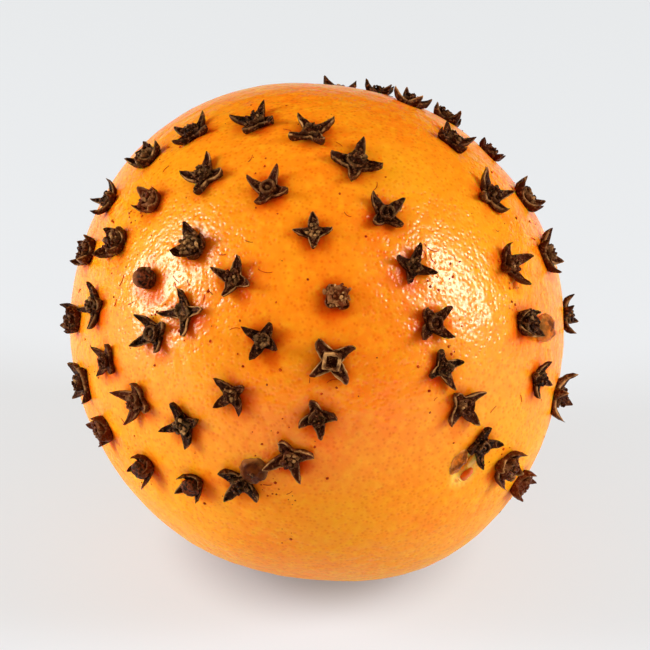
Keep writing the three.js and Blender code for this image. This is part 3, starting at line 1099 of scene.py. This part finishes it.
# ----------------------------------------------------------
# The flesh that shows in the split: one wet red-orange sac, and two torn flaps of pale pith
# beside it, all lying in the hollow of the peel.
# ----------------------------------------------------------
flesh_material, tree = new_material("wet_orange_flesh")
pale_level = add_node(tree, "ShaderNodeAttribute", attribute_name="pale").outputs["Fac"]
flesh_colour = add_node(
    tree,
    "ShaderNodeMix",
    {"Factor": pale_level, "A": colour("#DC6410"), "B": colour("#E8B44C")},
    data_type="RGBA",
)
flesh = add_node(
    tree,
    "ShaderNodeBsdfPrincipled",
    {
        "Base Color": flesh_colour,
        "Roughness": 0.15,
        "Subsurface Weight": 0.7,
        "Subsurface Radius": [1.0, 0.3, 0.1],
        "Subsurface Scale": 1 * MM,
    },
)
add_node(tree, "ShaderNodeOutputMaterial", {"Surface": flesh})

split_flesh = bmesh.new()
for right, up, points_to, length, width, high, height, pale in (
    (24.1, -23.3, 38, 2.8, 1.4, 0.6, -0.7, 0.0),
    (24.9, -21.2, 75, 2.6, 1.3, 0.5, -0.6, 1.0),
    (22.6, -23.8, 140, 1.0, 0.4, 0.3, -0.2, 1.0),
):
    sac = new_shape()
    layer = sac.verts.layers.float["pale"]
    bmesh.ops.create_icosphere(sac, subdivisions=3, radius=1)
    for vert in sac.verts:
        vert[layer] = pale
        shape = Vector((vert.co.x * length / 2, vert.co.y * width / 2, vert.co.z * high))
        vert.co = wrinkled(shape, right, 1)
    at = direction_seen_at(right * MM, up * MM, 0)
    gather(split_flesh, sac, seated(at, points_to, height), 0)
finish_piece(split_flesh, "split_flesh", flesh_material)


# ----------------------------------------------------------
# Crumbs and fibres of dried clove, red-brown and matte. They fell off the heads and stick to the
# oily peel, most of them near a head.
# ----------------------------------------------------------
# Where they gather on the front: right, up, spread in millimetres, and how many.
crumb_gatherings = [
    (-29.6, 18.5, 1.0, 9), (-29.0, 23.2, 0.5, 2), (-33.2, 9.8, 0.3, 1),
    (-30.0, 10.9, 1.4, 3), (-26.8, 2.9, 0.6, 5), (-17.6, 6.3, 0.3, 1),
    (-24.4, 4.0, 0.6, 2), (-22.0, -0.2, 0.6, 2), (-6.2, 11.3, 0.2, 1),
    (-10.0, 27.0, 1.2, 4), (-9.6, 20.5, 0.6, 2), (8.8, 22.2, 0.4, 3),
    (1.5, 34.6, 0.4, 3), (21.6, 11.4, 0.7, 4), (21.2, 8.6, 0.4, 2),
    (18.6, 7.8, 1.0, 4), (24.4, 19.1, 0.2, 1), (29.0, 11.5, 0.3, 2),
    (30.8, 7.4, 0.4, 3), (31.2, 4.0, 0.7, 5), (22.8, 2.5, 0.5, 2),
    (27.0, 26.0, 0.6, 2), (21.0, -3.2, 0.7, 4), (26.3, -9.8, 0.5, 2),
    (29.8, -19.6, 1.0, 4), (-0.6, -17.8, 0.5, 2), (-8.0, -24.8, 1.3, 9),
    (-4.6, -26.8, 0.8, 4), (-5.6, -32.8, 0.9, 4), (-8.8, -16.5, 1.6, 3),
    (-6.0, -15.4, 1.2, 3), (-28.0, -24.6, 0.7, 3), (-29.6, -2.4, 0.8, 3),
    (-36.2, -6.8, 0.6, 3), (35.4, -10.4, 0.6, 3),
]
full_turn = 6.3
crumb_spots = []
for group, (right, up, spread, many) in enumerate(crumb_gatherings):
    for k in range(many):
        angle = golden_turn * k + full_turn * chance(group, 31)
        out = spread * math.sqrt(chance(group, k + 40) * 2)
        aside, over = out * math.cos(angle), out * math.sin(angle)
        crumb_spots.append(direction_seen_at((right + aside) * MM, (up + over) * MM, 0))


def beside(direction, lean, around):
    """A direction that leans away from another by lean degrees, to a side given in radians."""
    turn = Matrix.Rotation(around, 3, direction)
    aside = turn @ direction.orthogonal().normalized()
    tilt = math.radians(lean)
    return (math.cos(tilt) * direction + math.sin(tilt) * aside).normalized()


# Up to three more lie round each head.
for count, (direction, _, _, _) in enumerate(cloves):
    for k in range(int(3.5 * chance(count, 33))):
        lean, around = between(count, k + 50, 6, 10), full_turn * chance(count, k + 60)
        crumb_spots.append(beside(direction, lean, around))

crumb_material, tree = new_material("clove_dust")
place = add_node(tree, "ShaderNodeTexCoord").outputs["Object"]
dust = add_node(tree, "ShaderNodeTexNoise", {"Vector": place, "Scale": 1 / (0.8 * MM)})
dust_level = add_node(tree, "ShaderNodeMapRange", {"Value": dust, "From Min": 0.4, "From Max": 0.6})
dust_colour = add_node(
    tree,
    "ShaderNodeMix",
    {"Factor": dust_level, "A": colour("#861C00"), "B": colour("#C44000")},
    data_type="RGBA",
)
broken = add_node(
    tree,
    "ShaderNodeBsdfPrincipled",
    {"Base Color": dust_colour, "Roughness": 0.7, "Specular IOR Level": 0.05},
)
add_node(tree, "ShaderNodeOutputMaterial", {"Surface": broken})

clove_crumbs = bmesh.new()
for count, at in enumerate(crumb_spots):
    crumb = new_shape()
    size = 0.1 + 0.19 * chance(count, 34) ** 2
    lump(crumb, Vector((0, 0, 0)), size, 0)
    gather(clove_crumbs, crumb, seated(at, 360 * chance(count, 35), 0.05), 0)
finish_piece(clove_crumbs, "clove_crumbs", crumb_material)


def fibre(length, bend, thick):
    """A thin bent hair that lies along x, in millimetres."""
    bm = new_shape()
    steps = 6
    start = Matrix.Translation((-length / 2, bend, 0)) @ Matrix.Rotation(math.radians(90), 4, "Y")
    bmesh.ops.create_circle(bm, cap_ends=True, segments=6, radius=thick, matrix=start)
    edges = bm.edges[:]
    before = bend
    for k in range(1, steps + 1):
        share = 2 * k / steps - 1
        edges, ring = grow(bm, edges)
        after = bend * share * share
        bmesh.ops.translate(bm, verts=ring, vec=(length / steps, after - before, 0))
        before = after
    bmesh.ops.contextual_create(bm, geom=edges)
    return bm


# Those on the front: right, up, where they point, length, bend.
fibre_places = [
    (-23.2, 7.4, -55, 1.3, 0.15),
    (-21.2, 7.9, -60, 1.0, 0.1),
    (-17.6, 6.4, -45, 1.1, 0.1),
    (-15.7, 12.4, -10, 1.1, 0.15),
    (-31.7, 8.2, 55, 1.9, 0.2),
    (-32.8, 4.7, 65, 1.2, 0.1),
    (-30.4, 4.6, 10, 1.2, 0.1),
    (-8.8, 9.6, -15, 2.2, 0.25),
    (-11.4, 14.5, -20, 1.3, 0.1),
    (17.8, 13.2, -20, 2.6, 0.5),
    (18.0, 11.7, -60, 1.8, 0.3),
    (17.0, 12.6, -70, 1.9, -0.3),
    (-6.4, -21.6, 85, 1.6, 0.1),
    (-8.4, -24.6, 5, 1.3, 0.1),
    (-4.8, -25.9, 45, 1.1, 0.1),
    (9.2, 23.4, 70, 1.6, 0.2),
    (-11.0, 27.9, 80, 1.5, 0.2),
    (4.4, 18.8, -40, 1.3, 0.2),
]
clove_fibres = bmesh.new()
for right, up, points_to, length, bend in fibre_places:
    at = direction_seen_at(right * MM, up * MM, 0)
    gather(clove_fibres, fibre(length, bend, 0.055), seated(at, points_to, 0.06), 0.5)
for count, (direction, _, _, _) in enumerate(cloves):
    if chance(count, 37) < 0.3:
        at = beside(direction, between(count, 38, 6, 9), full_turn * chance(count, 39))
        hair = fibre(between(count, 40, 0.7, 1.6), 0.2 * chance(count, 41), 0.05)
        gather(clove_fibres, hair, seated(at, 360 * chance(count, 42), 0.06), 0.7)
finish_piece(clove_fibres, "clove_fibres", crumb_material)


# ----------------------------------------------------------
# The stem button: the dry, cracked disc where the stalk sat, sunk in a dent of the peel on the
# side away from the spiral's heart.
# ----------------------------------------------------------
stem_material, tree = new_material("dry_stem_button")
place = add_node(tree, "ShaderNodeTexCoord").outputs["Object"]
bark = add_node(tree, "ShaderNodeTexNoise", {"Vector": place, "Scale": 1 / (1.2 * MM), "Detail": 4.0})
bark_colour = add_node(
    tree,
    "ShaderNodeMix",
    {"Factor": bark, "A": colour("#3A3018"), "B": colour("#9C8A5C")},
    data_type="RGBA",
)
bark_bump = add_node(tree, "ShaderNodeBump", {"Height": bark, "Strength": 1.0, "Distance": 0.4 * MM})
stalk_end = add_node(
    tree,
    "ShaderNodeBsdfPrincipled",
    {"Base Color": bark_colour, "Roughness": 0.85, "Specular IOR Level": 0.2, "Normal": bark_bump},
)
add_node(tree, "ShaderNodeOutputMaterial", {"Surface": stalk_end})

stem_button = bmesh.new()
button_rows = [
    (even_ring(2.2, -1.2, 0.3), 0, 1),
    (even_ring(3.0, 0.1, 0.3), 0, 2),
    (even_ring(2.9, 0.5, 0.3), 0, 2),
    (even_ring(2.3, 0.75, 0.2), 0, 3),
    (even_ring(1.6, 0.6), 0, 3),
    (even_ring(1.3, 0.2), 0, 2),
    (even_ring(0.4, 0.15), 0, 2),
]
gather(stem_button, lofted(button_rows, 5), clove_frame(stem_end, 0), 0)
finish_piece(stem_button, "stem_button", stem_material)
